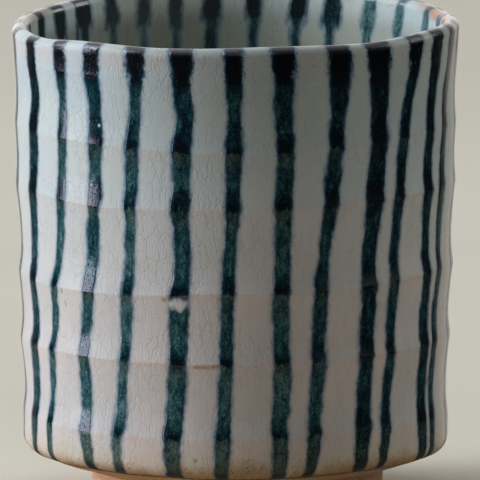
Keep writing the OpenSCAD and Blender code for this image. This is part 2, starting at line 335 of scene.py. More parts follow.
def blend_max(a, b, k):
    """The greater of two distances, rounded where they meet."""
    h = np.clip(0.5 + 0.5 * (a - b) / k, 0, 1)
    return b + (a - b) * h + k * h * (1 - h)


def capsule(s, z, s0, z0, s1, z1, r):
    """Signed distance inside a short rounded drip from (s0, z0) to (s1, z1)."""
    dx, dz = s1 - s0, z1 - z0
    t = np.clip(((s - s0) * dx + (z - z0) * dz) / (dx * dx + dz * dz), 0, 1)
    return r * (1 - 0.35 * t) - np.hypot(s - s0 - dx * t, z - z0 - dz * t)


def stripe_distance(angle, z, r, stripe, table, inside_wall):
    """For points on the wall: the signed distance in mm to the nearest stripe's edge, positive inside it,
    and how dark that stripe's pigment is."""
    best = np.full(np.shape(z), -9.0)
    tone = np.zeros_like(best)
    for k in range(len(table)):
        c, left, right = stripe(k, z)
        s = wrap(angle - c) * r
        d = np.minimum(s + left, right - s)
        rng = np.random.default_rng(900 + k + (50 if inside_wall else 0))
        if inside_wall:
            low, long = table[k][4], (table[k][7], table[k][8])
        else:
            low, long = 83.2 + rng.uniform(-0.5, 0.6), (rng.uniform(0.1, 1.3), rng.uniform(0.1, 1.3))
        at = np.array([low + 1.2])
        _, hl, hr = stripe(k, at)
        for side, half, ln in ((-1, hl[0], long[0]), (1, hr[0], long[1])):
            if ln > 0.25:
                s0 = side * (half - 0.38)
                tip = s0 + side * rng.uniform(0.0, 0.25) * ln
                d = blend_max(d, capsule(s, z, s0, low + 0.9, tip, low - ln, 0.40), 0.25)
        better = d > best
        best = np.where(better, d, best)
        tone = np.where(better, table[k][6] if inside_wall else table[k][2], tone)
    return best, tone


def fill_facts(rows, out_side):
    """Turns rows into arrays of shape (rows, N) with every fact that the materials read."""
    R = np.array([r[0] for r in rows])
    Z = np.array([r[1] for r in rows])
    part = np.array([r[2] for r in rows])
    A = np.broadcast_to(th, R.shape)
    f = {}
    zero = np.zeros(R.shape)
    f["cs"], f["fu"], f["fd"] = zero, zero, zero
    if out_side:
        # cs: signed distance to a ridge, near it; fu and fd: 1 at a ridge, fading upwards and downwards from it
        for i in range(6):
            d = Z - ridge_z[i]
            f["cs"] = f["cs"] + np.clip(d, -1.5, 1.5) * (1 - smooth(np.abs(d), 1.5, 4.0))
            f["fu"] = np.maximum(f["fu"], np.where(d >= 0, 1 - d / 6, (d + 1.6) / 0.6))
            fd = np.where(d <= 0, 1 + d / 5, (1.6 - d) / 0.6)
            f["fd"] = np.maximum(f["fd"], fd * (0.3 if i == 5 else 1.0))
        f["fu"], f["fd"] = np.clip(f["fu"], 0, 1), np.clip(f["fd"], 0, 1)
        step = np.hypot(np.diff(R, axis=0), np.diff(Z, axis=0))
        up = np.vstack([np.zeros(N), np.cumsum(step, axis=0)])
        f["gl"] = up
        f["lp"] = up[-1] - up
    else:
        step = np.hypot(np.diff(R, axis=0), np.diff(Z, axis=0))
        down = np.vstack([np.zeros(N), np.cumsum(step, axis=0)])
        f["lp"] = down
        f["gl"] = np.full(R.shape, 60.0)
    return R, Z, A, part, f


def paint(A, Z, R, f, out_side):
    if out_side:
        sd, tone = stripe_distance(A, Z, R, out_stripe, OUT, False)
        # the brush skipped on one stripe, just under a ridge
        c, left, right = out_stripe(5, Z)
        s = wrap(A - c) * R
        top = ridge_z[2] - 0.9 + 0.25 * np.cos(1.9 * s + 0.6)
        low = top - 0.9 - 1.5 * np.exp(-((s - 0.1) / 1.0) ** 2) + 0.15 * s
        gap = np.minimum(top - Z, Z - low)
        sd = np.where(np.abs(s) < 3.2, np.minimum(sd, -gap), sd)
    else:
        sd, tone = stripe_distance(A, Z, R, in_stripe, INN, True)
        sd = np.where(Z < 45, -5.0, sd)
    f["sd"], f["tone"] = np.clip(sd, -4, 3), tone
    return f


# ---------------------------------------------------------------- meshes

def to_xyz(r, a, z):
    return np.stack([r * np.sin(a), -r * np.cos(a), z * np.ones_like(r)], -1) * MM


def make_mesh(name, co, quads, tris, facts, material, nodes):
    me = bpy.data.meshes.new(name)
    quads = np.asarray(quads, np.int32).reshape(-1, 4)
    tris = np.asarray(tris, np.int32).reshape(-1, 3)
    loops = np.concatenate([quads.ravel(), tris.ravel()])
    starts = np.concatenate([np.arange(len(quads)) * 4, len(quads) * 4 + np.arange(len(tris)) * 3]).astype(np.int32)
    me.vertices.add(len(co))
    me.vertices.foreach_set("co", np.asarray(co, np.float32).ravel())
    me.loops.add(len(loops))
    me.loops.foreach_set("vertex_index", loops)
    me.polygons.add(len(starts))
    me.polygons.foreach_set("loop_start", starts)
    me.polygons.foreach_set("use_smooth", np.ones(len(starts), bool))
    me.update(calc_edges=True)
    me.validate()
    for key, v in facts.items():
        at = me.attributes.new(key, "FLOAT", "POINT")
        at.data.foreach_set("value", np.asarray(v, np.float32).ravel())
    me.materials.append(material)
    ob = bpy.data.objects.new(name, me)
    bpy.context.scene.collection.objects.link(ob)
    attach(ob, "root")
    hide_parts(*nodes)
    return ob


def ring_faces(rows, cols, closed):
    i = np.arange(rows if closed else rows - 1)
    j = np.arange(cols)
    a, b = np.meshgrid(i, j, indexing="ij")
    a1, b1 = (a + 1) % rows, (b + 1) % cols
    return np.stack([a * cols + b, a * cols + b1, a1 * cols + b1, a1 * cols + b], -1).reshape(-1, 4)


KEYS = ("sd", "tone", "cs", "fu", "fd", "gl", "lp")


def blank(shape):
    f = {k: np.zeros(shape) for k in KEYS}
    f["sd"] = np.full(shape, -5.0)
    f["gl"] = np.full(shape, 60.0)
    f["lp"] = np.full(shape, 60.0)
    return f


# ---------------------------------------------------------------- node helper

class Mat:
    def __init__(self, name):
        self.m = bpy.data.materials.new(name)
        self.m.use_nodes = True
        self.t = self.m.node_tree
        self.t.nodes.clear()
        self.out = self.t.nodes.new("ShaderNodeOutputMaterial")
        self.b = self.t.nodes.new("ShaderNodeBsdfPrincipled")
        self.t.links.new(self.b.outputs[0], self.out.inputs[0])
        self._at = {}

    def put(self, socket, v):
        if isinstance(v, bpy.types.NodeSocket):
            self.t.links.new(v, socket)
        else:
            if hasattr(socket.default_value, "__len__"):
                if not hasattr(v, "__len__"):
                    v = (v, v, v)
                v = tuple(v)
                n = len(socket.default_value)
                socket.default_value = v[:n] if len(v) >= n else v + (1.0,) * (n - len(v))
            else:
                socket.default_value = v

    def attr(self, name):
        if name not in self._at:
            n = self.t.nodes.new("ShaderNodeAttribute")
            n.attribute_type = "GEOMETRY"
            n.attribute_name = name
            self._at[name] = n.outputs["Fac"]
        return self._at[name]

    def pos(self):
        """The place on the piece, in mm."""
        if "pos" not in self._at:
            n = self.t.nodes.new("ShaderNodeTexCoord")
            self._at["pos"] = self.vm("SCALE", n.outputs["Object"], scale=1000.0)
        return self._at["pos"]

    def ma(self, op, a, b=None, c=None, clamp=False):
        n = self.t.nodes.new("ShaderNodeMath")
        n.operation = op
        n.use_clamp = clamp
        self.put(n.inputs[0], a)
        if b is not None:
            self.put(n.inputs[1], b)
        if c is not None:
            self.put(n.inputs[2], c)
        return n.outputs[0]

    def add(self, a, b):
        return self.ma("ADD", a, b)

    def sub(self, a, b):
        return self.ma("SUBTRACT", a, b)

    def mul(self, *v):
        out = v[0]
        for x in v[1:]:
            out = self.ma("MULTIPLY", out, x)
        return out

    def vm(self, op, a, b=None, scale=None):
        n = self.t.nodes.new("ShaderNodeVectorMath")
        n.operation = op
        self.put(n.inputs[0], a)
        if b is not None:
            self.put(n.inputs[1], b)
        if scale is not None:
            self.put(n.inputs["Scale"], scale)
        return n.outputs["Value"] if op in ("LENGTH", "DISTANCE", "DOT_PRODUCT") else n.outputs["Vector"]

    def stretch(self, x, y, z):
        return self.vm("MULTIPLY", self.pos(), (x, y, z))

    def noise(self, vec, scale, detail=3.0, rough=0.5, dist=0.0, colour=False):
        n = self.t.nodes.new("ShaderNodeTexNoise")
        self.put(n.inputs["Vector"], vec)
        n.inputs["Scale"].default_value = scale
        n.inputs["Detail"].default_value = detail
        n.inputs["Roughness"].default_value = rough
        n.inputs["Distortion"].default_value = dist
        return n.outputs["Color"] if colour else n.outputs[0]

    def voronoi(self, vec, scale, feature="F1", out="Distance", random=1.0):
        n = self.t.nodes.new("ShaderNodeTexVoronoi")
        n.feature = feature
        self.put(n.inputs["Vector"], vec)
        n.inputs["Scale"].default_value = scale
        n.inputs["Randomness"].default_value = random
        return n.outputs[out]

    def ramp(self, v, a, b, lo=0.0, hi=1.0, kind="SMOOTHSTEP"):
        n = self.t.nodes.new("ShaderNodeMapRange")
        n.interpolation_type = kind
        n.clamp = True
        self.put(n.inputs["Value"], v)
        if a > b:
            a, b, lo, hi = b, a, hi, lo
        n.inputs["From Min"].default_value = a
        n.inputs["From Max"].default_value = b
        n.inputs["To Min"].default_value = lo
        n.inputs["To Max"].default_value = hi
        return n.outputs["Result"]

    def mix(self, f, a, b, blend="MIX"):
        n = self.t.nodes.new("ShaderNodeMix")
        n.data_type = "RGBA"
        n.blend_type = blend
        n.clamp_factor = True
        self.put(n.inputs[0], f)
        self.put(n.inputs[6], a)
        self.put(n.inputs[7], b)
        return n.outputs[2]

    def split(self, v):
        n = self.t.nodes.new("ShaderNodeSeparateXYZ")
        self.put(n.inputs[0], v)
        return n.outputs

    def bump(self, height, strength, distance, normal=None):
        n = self.t.nodes.new("ShaderNodeBump")
        n.inputs["Strength"].default_value = strength
        n.inputs["Distance"].default_value = distance
        self.put(n.inputs["Height"], height)
        if normal is not None:
            self.put(n.inputs["Normal"], normal)
        return n.outputs[0]


def srgb(r, g, b):
    """A colour given in the usual 0 to 255 screen numbers."""
    return tuple((x / 255 / 12.92 if x <= 10.3 else ((x / 255 + 0.055) / 1.055) ** 2.4) for x in (r, g, b))


# ---------------------------------------------------------------- materials

def glaze_material(name, out_side):
    m = Mat(name)
    P = m.pos()
    x, y, z = m.split(P)
    big = m.noise(P, 0.055, 3, 0.55)
    mid = m.noise(P, 0.22, 3, 0.55)
    fine = m.noise(P, 1.5, 4, 0.6)
    dust = m.noise(P, 3.6, 3, 0.65)
    streak = m.noise(m.stretch(1, 1, 0.10), 1.1, 3, 0.55)
    gl, lp, sd, tone = (m.attr(k) for k in ("gl", "lp", "sd", "tone"))
    cs, fu, fd = (m.attr(k) for k in ("cs", "fu", "fd"))

    # the coat: a cool grey-white higher up, warmer lower down, a painted tint of the cool light from above and the warm
    # light thrown up from the floor
    high = m.ramp(z, 30, 76)
    pale = m.mix(high, srgb(226, 212, 203), srgb(203, 213, 212))
    tint = m.mix(high, srgb(214, 206, 198), srgb(212, 217, 209))
    col = m.mix(m.ramp(big, 0.36, 0.64), pale, tint)
    if out_side:
        # above a ridge the coat is thick and cool, under it thin and warm; these tints also paint light, cool on the
        # up-facing slope above a ridge and warm floor light on the down-facing slope under it. The change is soft and
        # wanders a little
        side = m.ramp(m.add(cs, m.add(m.mul(m.sub(mid, 0.5), 1.8), m.mul(m.sub(fine, 0.5), 0.9))), -0.65, 0.65)
        over = m.mul(side, m.ma("POWER", fu, 1.6), m.ramp(mid, 0.25, 0.7, 0.5, 1.0))
        under = m.mul(m.sub(1.0, side), m.ma("POWER", fd, 2.0), m.ramp(mid, 0.30, 0.66, 0.35, 1.0))
        warmth = m.ramp(z, 74, 40, 0.45, 1.0)
        faint = m.ramp(x, -36, -16, 0.40, 1.0)
        col = m.mix(m.mul(over, 0.18), col, srgb(200, 210, 213))
        col = m.mix(m.mul(under, warmth, faint, 0.46), col, srgb(232, 208, 192))
        edge = m.mul(m.ma("POWER", fd, 7.0), m.sub(1.0, side), m.ramp(m.noise(P, 0.16, 3), 0.40, 0.66), warmth)
        col = m.mix(m.mul(edge, faint, 0.50), col, srgb(224, 182, 156))
        rim = m.mul(m.ramp(lp, 0.9, 2.2), m.ramp(lp, 6.5, 3.0), m.ramp(mid, 0.28, 0.6, 0.3, 1.0))
        col = m.mix(m.mul(rim, 0.6), col, srgb(226, 212, 202))
    else:
        # painted shade: the inside wall darker the deeper it goes, and darker still on the -x side of the inside
        painted_deep_shade = m.ramp(lp, 3.0, 7.5)
        col = m.mix(m.mul(painted_deep_shade, 0.75), col, srgb(164, 166, 150))
        col = m.mix(m.mul(painted_deep_shade, m.ramp(x, 14, -14), 0.55), col, srgb(118, 122, 108))
        low = m.ramp(z, 24, 11)
        col = m.mix(m.mul(low, 0.5), col, srgb(170, 184, 170))
    if out_side:
        # painted shade: the upper wall darker towards the lip, most at the front and less towards the sides
        col = m.mix(m.mul(m.ramp(z, 56, 84, 0.0, 0.54), m.mul(m.ramp(x, -28, -2, 0.12, 1.0), m.ramp(x, 8, 24, 1.0, 0.65))), col, srgb(138, 148, 142))
    # a painted highlight along the top of the lip, and inside it an iron-brown edge where the glaze runs thin
    top = m.ramp(lp, 1.5, 0.2)
    col = m.mix(m.mul(top, 0.35), col, srgb(230, 222, 216))
    if not out_side:
        patchy = m.ramp(m.noise(P, 0.10, 3), 0.44, 0.60)
        sides = m.ma("MAXIMUM", m.ramp(x, 31.5, 35.5), m.ramp(x, -30, -36, 0.0, 0.5))
        brown = m.mul(m.ramp(lp, 0.0, 0.7), m.ramp(lp, 3.2, 1.7), m.ma("MAXIMUM", m.mul(patchy, 0.25), sides), m.ramp(mid, 0.3, 0.6, 0.4, 1.0))
        col = m.mix(m.mul(brown, 0.90), col, srgb(204, 134, 88))

    # soft vertical tone streaks and a grain
    col = m.mix(m.ramp(streak, 0.38, 0.72, 0.0, 0.13), col, srgb(184, 184, 174))
    col = m.mix(m.ramp(dust, 0.50, 0.74, 0.0, 0.16), col, srgb(160, 160, 152))
    col = m.mix(m.ramp(fine, 0.45, 0.26, 0.0, 0.10), col, srgb(240, 240, 236))

    # crackle: fine wavy cracks drawn out upwards, and a finer net between them
    bend = m.vm("SUBTRACT", m.noise(P, 0.45, 2, 0.5, colour=True), (0.5, 0.5, 0.5))
    c_vec = m.vm("ADD", m.stretch(1, 1, 0.40), m.vm("SCALE", bend, scale=1.6))
    crack1 = m.ramp(m.voronoi(c_vec, 0.60, "DISTANCE_TO_EDGE"), 0.085, 0.012)
    c_vec2 = m.vm("ADD", m.stretch(1, 1, 0.45), m.vm("SCALE", bend, scale=1.0))
    crack2 = m.ramp(m.voronoi(c_vec2, 1.3, "DISTANCE_TO_EDGE"), 0.14, 0.02)
    patch = m.ramp(m.noise(P, 0.10, 2), 0.33, 0.60, 0.25, 1.0)
    broken = m.ramp(m.noise(P, 0.40, 2), 0.30, 0.46)
    crack = m.mul(m.ma("MAXIMUM", m.mul(crack1, broken), m.mul(crack2, 0.42)), patch)
    col = m.mix(m.mul(crack, 0.12), col, srgb(126, 122, 110))

    # specks of iron
    def specks(scale, keep, size, seed):
        v = m.vm("ADD", P, (seed, seed * 0.7, seed * 1.3))
        d = m.voronoi(v, scale)
        rnd = m.split(m.voronoi(v, scale, out="Color"))
        on = m.ma("LESS_THAN", rnd[0], keep)
        rad = m.ma("MULTIPLY_ADD", rnd[1], size * 0.8, size * 0.35)
        soft = m.ma("DIVIDE", m.sub(rad, d), size * 0.5, clamp=True)
        return m.mul(soft, on, m.ma("MULTIPLY_ADD", rnd[2], 0.8, 0.2))

    sp = m.ma("MAXIMUM", specks(0.6, 0.34, 0.115, 3.1), m.ma("MAXIMUM", specks(1.25, 0.38, 0.15, 9.7), specks(0.95, 0.30, 0.13, 5.3)))
    sp = m.mul(sp, m.ramp(z, 18, 40, 0.55, 1.0))
    col = m.mix(m.mul(sp, 0.72), col, srgb(62, 70, 66))

    if out_side:
        # brown freckles and one rusty smear, near where the photo has them
        def spot(a, h, rx, rz, colour, amount, r=38.6):
            nonlocal col
            a = math.radians(a)
            d = m.vm("SUBTRACT", P, (r * math.sin(a), -r * math.cos(a), h))
            tangent = m.vm("DOT_PRODUCT", d, (math.cos(a) / rx, math.sin(a) / rx, 0))
            up = m.vm("DOT_PRODUCT", d, (0, 0, 1 / rz))
            rad = m.vm("DOT_PRODUCT", d, (math.sin(a) / 6, -math.cos(a) / 6, 0))
            q = m.ma("SQRT", m.add(m.add(m.mul(tangent, tangent), m.mul(up, up)), m.mul(rad, rad)))
            q = m.add(q, m.mul(m.sub(fine, 0.5), 1.6))
            col = m.mix(m.mul(m.ramp(q, 1.25, 0.35), amount), col, colour)

        rust = srgb(172, 122, 80)
        spot(-52.5, 42.2, 0.35, 0.7, rust, 0.75)
        spot(-51.5, 39.9, 0.30, 0.8, rust, 0.55)
        spot(-34.8, 16.4, 0.35, 0.45, srgb(104, 62, 36), 0.9)
        spot(-15.2, 14.8, 0.50, 0.60, srgb(148, 106, 62), 0.70)
        spot(-10.8, 14.0, 0.38, 0.42, srgb(118, 86, 54), 0.65)
        spot(-18.9, 42.6, 0.6, 0.55, srgb(176, 142, 98), 0.7)
        spot(-7.8, 30.8, 2.6, 0.60, rust, 0.40)
        spot(-9.4, 30.7, 1.5, 0.36, rust, 0.50)
        spot(-5.2, 30.9, 1.2, 0.42, rust, 0.45)
        spot(65.5, 30.6, 0.4, 0.8, srgb(110, 78, 46), 0.8)
        spot(-74, 13.0, 0.35, 0.4, srgb(140, 70, 44), 0.8)
        spot(118, 36.0, 0.6, 0.5, rust, 0.7)
        spot(160, 52.0, 0.4, 0.7, rust, 0.6)
        spot(-140, 24.0, 0.7, 0.45, rust, 0.7)
        # tan blush with grit just over the glaze line; its brown and its dark edge turn darker towards +x, painted
        # shade
        g2 = m.add(m.add(gl, m.add(m.ramp(x, 5, -22, 0.0, 1.5), m.ramp(x, 0, 14, 0.0, 0.8))), m.add(m.mul(m.sub(mid, 0.5), 2.6), m.mul(m.sub(m.noise(m.stretch(1, 1, 0.3), 0.5, 3), 0.5), 3.4)))
        blush = m.ramp(g2, 9.6, 4.4)
        col = m.mix(m.mul(blush, 0.38), col, srgb(214, 186, 134))
        near = m.ramp(g2, 5.6, 2.2)
        col = m.mix(m.mul(near, 0.74), col, m.mix(m.ramp(x, -12, 10), srgb(178, 136, 78), srgb(158, 122, 64)))
        grit = m.mul(m.ramp(m.noise(P, 2.4, 4, 0.7), 0.53, 0.66), m.ramp(g2, 7.2, 3.2))
        col = m.mix(m.mul(grit, 0.72), col, srgb(104, 76, 46))
        # a dark edge at the glaze line, stronger towards +x as painted shade
        dark_edge_and_shade = m.ramp(m.add(gl, m.mul(m.sub(mid, 0.5), 1.6)), 3.3, 0.9)
        col = m.mix(m.mul(dark_edge_and_shade, m.ramp(x, -30, 10, 0.30, 0.62)), col, srgb(98, 68, 30))
        line = m.ramp(m.add(gl, m.mul(m.sub(fine, 0.5), 1.2)), 1.5, 0.75)
        col = m.mix(m.mul(line, 0.92), col, srgb(62, 40, 18))

    # ---- the brushed pigment: from a thin grey-green wash to thick blue-black
    wig = m.mul(m.sub(m.noise(m.stretch(1, 1, 0.45), 0.42, 2, 0.5), 0.5), 1.1)
    wig = m.add(wig, m.mul(m.sub(m.noise(m.stretch(1, 1, 0.6), 1.3, 3, 0.6), 0.5), 0.75))
    wig = m.add(wig, m.mul(m.sub(dust, 0.5), 0.35))
    sdw = m.add(sd, wig)
    if out_side:
        # the thick heads have frayed edges
        fray = m.noise(m.stretch(1, 1, 0.7), 1.7, 4, 0.75)
        sdw = m.add(sdw, m.mul(m.ramp(lp, 9.5, 5.5), m.sub(fray, 0.55), 1.5))
    halo = m.mul(m.ramp(sdw, -0.95, 0.0), m.ramp(mid, 0.3, 0.65, 0.4, 1.0), m.ramp(gl, 2.5, 9, 0.25, 1.0))
    col = m.mix(m.mul(halo, 0.50), col, srgb(92, 136, 158))
    mott = m.noise(m.stretch(1, 1, 0.5), 0.8, 4, 0.62)
    grain = m.noise(m.stretch(1, 1, 0.8), 2.6, 4, 0.72)
    dens = m.add(m.add(0.19, m.mul(tone, 0.60)), m.add(m.mul(m.sub(mott, 0.5), 1.35), m.mul(m.sub(grain, 0.5), 1.45)))
    dens = m.add(dens, m.mul(m.ramp(z, 34, 84), 0.14))
    olive = 0.0
    if out_side:
        jit = m.add(cs, m.add(m.mul(m.sub(mott, 0.5), 2.0), m.mul(m.sub(grain, 0.5), 1.0)))
        step = m.ramp(jit, -0.45, 0.45)
        reach = m.ramp(z, 25, 66, 1.9, 0.85)
        dens = m.add(dens, m.mul(step, m.ma("POWER", fu, reach), 0.46))
        dens = m.add(dens, m.mul(step, m.ramp(fu, 0.70, 0.95), 0.16))
        dens = m.add(dens, m.mul(m.sub(1.0, step), m.ma("POWER", fd, 1.5), 0.06))
        head = m.ramp(m.add(lp, m.add(m.mul(m.sub(mott, 0.5), 5.5), m.mul(m.sub(grain, 0.5), 3.0))), 8.6, 4.4)
        dens = m.add(dens, m.mul(head, 0.80))
        dens = m.add(dens, m.ramp(lp, 17, 8, 0.0, 0.13))
        end = m.ramp(m.add(gl, m.mul(m.sub(mott, 0.5), 2.4)), 4.6, 2.0)
        dens = m.add(dens, m.mul(end, 0.12))
        dens = m.sub(dens, m.mul(m.ramp(z, 40, 28, 0.0, 0.11), m.mul(m.ramp(x, 26, 16), m.ramp(x, -30, -10, 0.25, 1.0))))
        olive = m.ma("MAXIMUM", m.mul(m.sub(1.0, step), m.ma("POWER", fd, 1.6), 0.75), m.ramp(gl, 13.0, 3.0, 0.0, 0.85))
    else:
        head = m.ramp(m.add(lp, m.mul(m.sub(mott, 0.5), 2.6)), 7.6, 5.2)
        dens = m.add(dens, m.mul(head, 0.38))
        dens = m.sub(dens, m.ramp(lp, 12, 34, 0.06, 0.28))
        # painted light: the pigment lighter towards +x on the inside wall, and the heads there lighter still
        dens = m.sub(dens, m.ramp(x, 5, 30, 0.0, 0.20))
        dens = m.sub(dens, m.mul(head, m.ramp(x, 12, 26), 0.50))
    ramp = m.t.nodes.new("ShaderNodeValToRGB")
    m.put(ramp.inputs[0], dens)
    stops = [(0.0, srgb(108, 140, 136)), (0.22, srgb(78, 114, 112)), (0.45, srgb(40, 80, 82)), (0.68, srgb(16, 52, 57)), (0.86, srgb(8, 31, 38)), (1.0, srgb(7, 18, 26))]
    while len(ramp.color_ramp.elements) < len(stops):
        ramp.color_ramp.elements.new(0.5)
    for e, (at, c) in zip(ramp.color_ramp.elements, stops):
        e.position = at
        e.color = (*c, 1)
    pig = ramp.outputs[0]
    if out_side:
        pig = m.mix(m.mul(olive, m.ramp(dens, 0.95, 0.5)), pig, m.mix(m.ramp(dens, 0.1, 0.7), srgb(98, 108, 90), srgb(50, 60, 48)))
    if out_side:
        pig = m.mix(m.mul(end, 0.30), pig, srgb(44, 46, 34))
        pig = m.mix(m.ramp(gl, 4.6, 1.6, 0.0, 0.45), pig, srgb(48, 46, 32))
        tip = m.ramp(m.add(gl, m.mul(m.sub(grain, 0.5), 1.8)), 3.2, 1.7)
        pig = m.mix(m.mul(tip, 0.75), pig, srgb(22, 18, 12))
    black = m.mul(head, m.ramp(sdw, 0.15, 0.7), m.ramp(grain, 0.72, 0.55, 0.75, 1.0))
    pig = m.mix(m.mul(black, 0.9 if out_side else 0.1), pig, srgb(13, 14, 17))
    rimblue = m.mul(m.ramp(sdw, 0.95, 0.05), m.ramp(mid, 0.32, 0.62, 0.45, 1.0))
    pig = m.mix(m.mul(rimblue, m.ramp(gl, 2.0, 6.5, 0.08, 0.50) if out_side else 0.50), pig, srgb(18, 70, 98))
    # the pigment on the lip: partly worn thin, partly a painted purple-grey sheen
    wear_and_sheen = m.ramp(m.add(lp, m.mul(m.sub(grain, 0.5), 0.9)), 2.1, 0.5)
    pig = m.mix(m.mul(wear_and_sheen, 0.66), pig, srgb(138, 130, 138))
    edge_w = 0.40 if out_side else 0.60
    cover = m.ramp(sdw, -edge_w, edge_w)
    dry = m.ramp(m.noise(m.stretch(1, 1, 0.3), 2.6, 4, 0.7), 0.64, 0.76)
    cover = m.mul(cover, m.sub(1.0, m.mul(dry, 0.30)))
    col = m.mix(cover, col, pig)
    if out_side:
        # bright pinholes in two stripes
        for a, h, rad in ((-37.8, 72.8, 0.42), (-67.2, 44.5, 0.5), (-40.5, 62.0, 0.3)):
            a = math.radians(a)
            d = m.vm("DISTANCE", P, (39.1 * math.sin(a), -39.1 * math.cos(a), h))
            col = m.mix(m.ramp(d, rad, rad * 0.4), col, srgb(176, 196, 198))

    # ---- gloss and relief
    shine = m.ma("MULTIPLY_ADD", cover, 0.53, 0.11)
    rough = m.add(0.065, m.add(m.mul(m.ramp(fine, 0.35, 0.75), 0.06), m.mul(crack, 0.10)))
    h = m.add(m.mul(m.noise(P, 0.8, 3, 0.5), 3.0), m.mul(m.noise(m.stretch(1, 1, 0.35), 1.4, 3, 0.6), 2.0))
    h = m.sub(h, m.mul(crack, m.ma("MULTIPLY_ADD", cover, -2.9, 3.5)))
    h = m.sub(h, m.mul(sp, 0.5))
    h = m.add(h, m.mul(m.sub(dust, 0.5), 1.1))
    if out_side:
        thin = m.ramp(m.add(gl, m.mul(m.sub(mid, 0.5), 2.0)), 5.0, 2.4)
        rough = m.add(rough, m.mul(thin, 0.42))
        shine = m.mul(shine, m.ma("MULTIPLY_ADD", thin, -0.85, 1.0))
        # thick black pigment on the lip breaks the shine into grains
        rough_head = m.mul(head, cover)
        rough = m.add(rough, m.mul(rough_head, 0.05))
        h = m.add(h, m.mul(rough_head, m.noise(P, 1.9, 3, 0.7), 5.0))
        # one stretch of one stripe is duller
        a = math.radians(-39.3)
        d = m.vm("SUBTRACT", P, (39.2 * math.sin(a), -39.2 * math.cos(a), 75.6))
        d = m.vm("MULTIPLY", d, (1, 1, 0.62))
        dull = m.mul(m.ramp(m.vm("LENGTH", d), 3.9, 2.9), cover)
        shine = m.mul(shine, m.ma("MULTIPLY_ADD", dull, -0.92, 1.0))
        # and the heads on the right are matt
        shine = m.mul(shine, m.ma("MULTIPLY_ADD", m.mul(rough_head, m.ramp(x, -20, -9)), -0.72, 1.0))
        # pits in the pigment of that same stripe
        own = m.mul(m.ramp(m.ma("ABSOLUTE", m.add(x, 25.6)), 4.6, 3.4), m.ramp(y, 0, -8), cover)
        pit = m.ramp(m.add(m.noise(P, 2.9, 2, 0.6), m.add(m.mul(m.sub(1.0, fu), 0.13), m.ramp(z, 83, 84.5, 0.0, -0.02))), 0.60, 0.66)
        shine = m.mul(shine, m.ma("MULTIPLY_ADD", m.mul(own, pit), -0.90, 1.0))
    m.put(m.b.inputs["Base Color"], col)
    m.put(m.b.inputs["Roughness"], rough)
    m.put(m.b.inputs["Specular IOR Level"], shine)
    m.b.inputs["IOR"].default_value = 1.46
    m.put(m.b.inputs["Normal"], m.bump(h, 1.0, 0.0000085))
    return m.m


def clay_material(name, base, dark, light, pink):
    m = Mat(name)
    P = m.pos()
    big = m.noise(P, 0.09, 4, 0.6)
    grain = m.noise(P, 2.2, 5, 0.7)
    fine = m.noise(P, 6.0, 4, 0.7)
    col = m.mix(m.ramp(big, 0.35, 0.65), base, light)
    col = m.mix(m.ramp(grain, 0.46, 0.68, 0.0, 0.6), col, dark)
    col = m.mix(m.ramp(fine, 0.55, 0.75, 0.0, 0.35), col, light)
    # grains of sand in the clay
    d = m.voronoi(P, 1.1)
    rnd = m.split(m.voronoi(P, 1.1, out="Color"))
    sand = m.mul(m.ramp(d, 0.20, 0.10), m.ma("LESS_THAN", rnd[0], 0.16))
    col = m.mix(m.mul(sand, 0.7), col, m.mix(rnd[1], dark, srgb(226, 208, 184)))
    # turning marks
    x, y, z = m.split(P)
    rad = m.ma("SQRT", m.add(m.mul(x, x), m.mul(y, y)))
    turn = m.ma("SINE", m.add(m.mul(rad, 7.5 if pink else 6.0), m.add(m.mul(z, 5.0), m.mul(big, 7.0))))
    col = m.mix(m.ramp(turn, 0.2, 1.0, 0.0, 0.16), col, dark)
    # painted shade: darker towards +x, the side away from the light, in patches
    col = m.mix(m.ramp(m.add(x, m.mul(m.sub(big, 0.5), 12)), -14, 24, 0.0, 0.40 if pink else 0.55), col, (0.03, 0.014, 0.007) if pink else (0.010, 0.006, 0.003))
    h = m.add(m.mul(grain, 0.7), m.add(m.mul(fine, 0.35), m.add(m.mul(turn, 0.12), m.mul(sand, 0.5))))
    m.put(m.b.inputs["Base Color"], col)
    m.put(m.b.inputs["Roughness"], m.ramp(grain, 0.3, 0.7, 0.62, 0.88))
    m.put(m.b.inputs["Normal"], m.bump(h, 0.7, 0.00012))
    return m.m


glaze_out = glaze_material("glaze_outside", True)
glaze_in = glaze_material("glaze_inside", False)
clay_mat = clay_material("brown_clay", srgb(160, 112, 46), srgb(100, 66, 26), srgb(176, 130, 62), False)
foot_mat = clay_material("pink_clay", srgb(244, 190, 146), srgb(194, 132, 94), srgb(250, 208, 166), True)


# ---------------------------------------------------------------- pieces

def shell(name, front, back, closed, facts_side, material, nodes):
    """A closed shell from visible rows and hidden rows. closed joins last to first; otherwise both ends close on the axis."""
    rows = front + back if closed else front
    R = np.array([r[0] for r in rows])
    Z = np.array([r[1] for r in rows])
    co = to_xyz(R, np.broadcast_to(th, R.shape), Z).reshape(-1, 3)
    quads = ring_faces(len(rows), N, closed)
    tris = []
    if not closed:
        first, last = len(co), len(co) + 1
        ends = np.array([[0, 0, Z[0].mean() * MM], [0, 0, Z[-1].mean() * MM]])
        co = np.vstack([co, ends])
        j = np.arange(N)
        j1 = (j + 1) % N
        base = (len(rows) - 1) * N
        tris = np.concatenate([np.stack([np.full(N, first), j1, j], -1), np.stack([np.full(N, last), base + j, base + j1], -1)])
    facts = {k: v.ravel() for k, v in facts_side.items()}
    for k in facts:
        if len(facts[k]) < len(co):
            fill = -5.0 if k == "sd" else 60.0
            facts[k] = np.concatenate([facts[k], np.full(len(co) - len(facts[k]), fill)])
    return make_mesh(name, co, quads, tris, facts, material, nodes)


